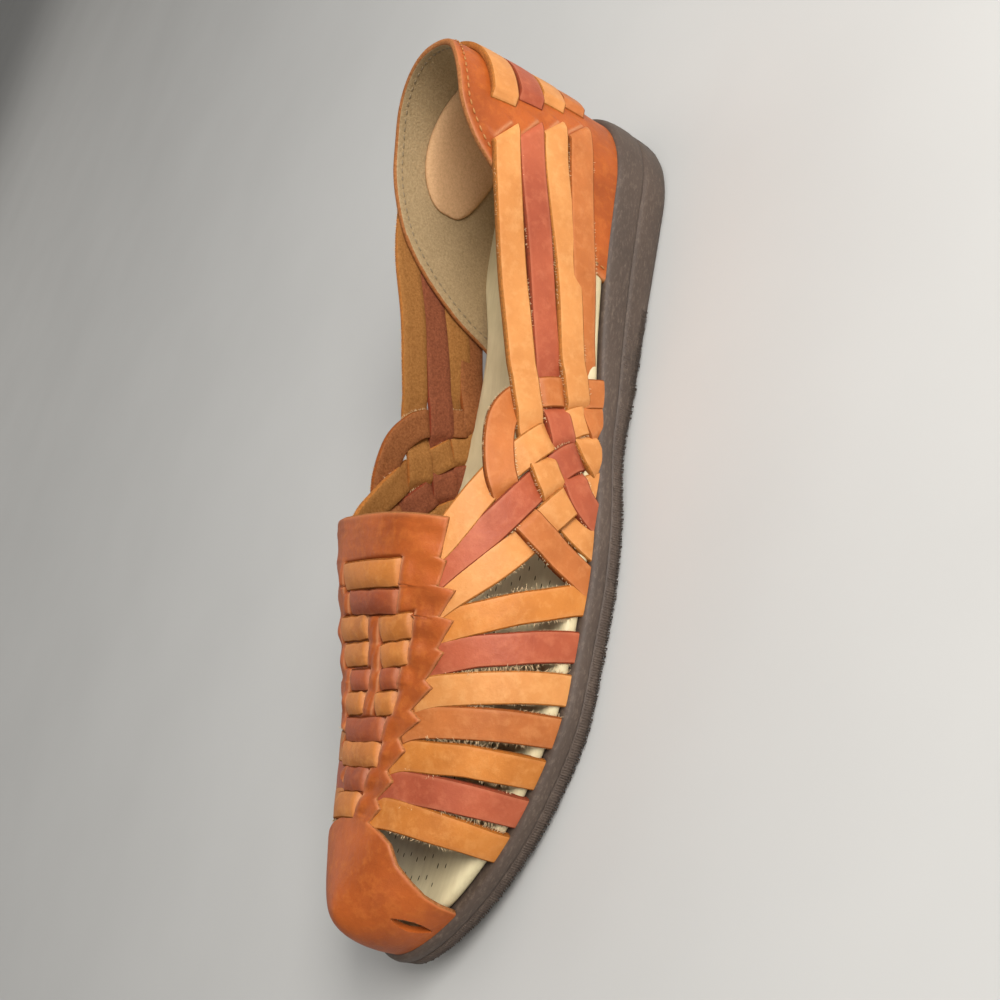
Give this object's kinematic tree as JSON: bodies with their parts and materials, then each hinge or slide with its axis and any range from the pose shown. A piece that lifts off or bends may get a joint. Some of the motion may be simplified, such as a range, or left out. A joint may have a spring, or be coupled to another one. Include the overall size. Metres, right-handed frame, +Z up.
{
  "type": "huarache sandal",
  "caption": "Woven leather sandal for a left foot: strap-woven sides, closed vamp with an open toe, solid heel counter, cushioned insole and a one-piece rubber sole.",
  "frame": {"origin": "on the floor under the middle of the sole's length and width", "axes": "+X from heel to toe, +Y to the outer side of the left foot, +Z up"},
  "size_m": [0.247, 0.0804, 0.0739],
  "materials": {
    "sole_rubber": "dull, fine ribbed edge",
    "insole_leather": "smooth, pale, perforated",
    "upper_leather": "vegetable tanned, satin",
    "pad_leather": "soft napped"
  },
  "bodies": {
    "root": {"outsole": "sole_rubber", "insole": "insole_leather", "upper": "upper_leather", "heel_pad": "pad_leather"}
  },
  "joints": []
}
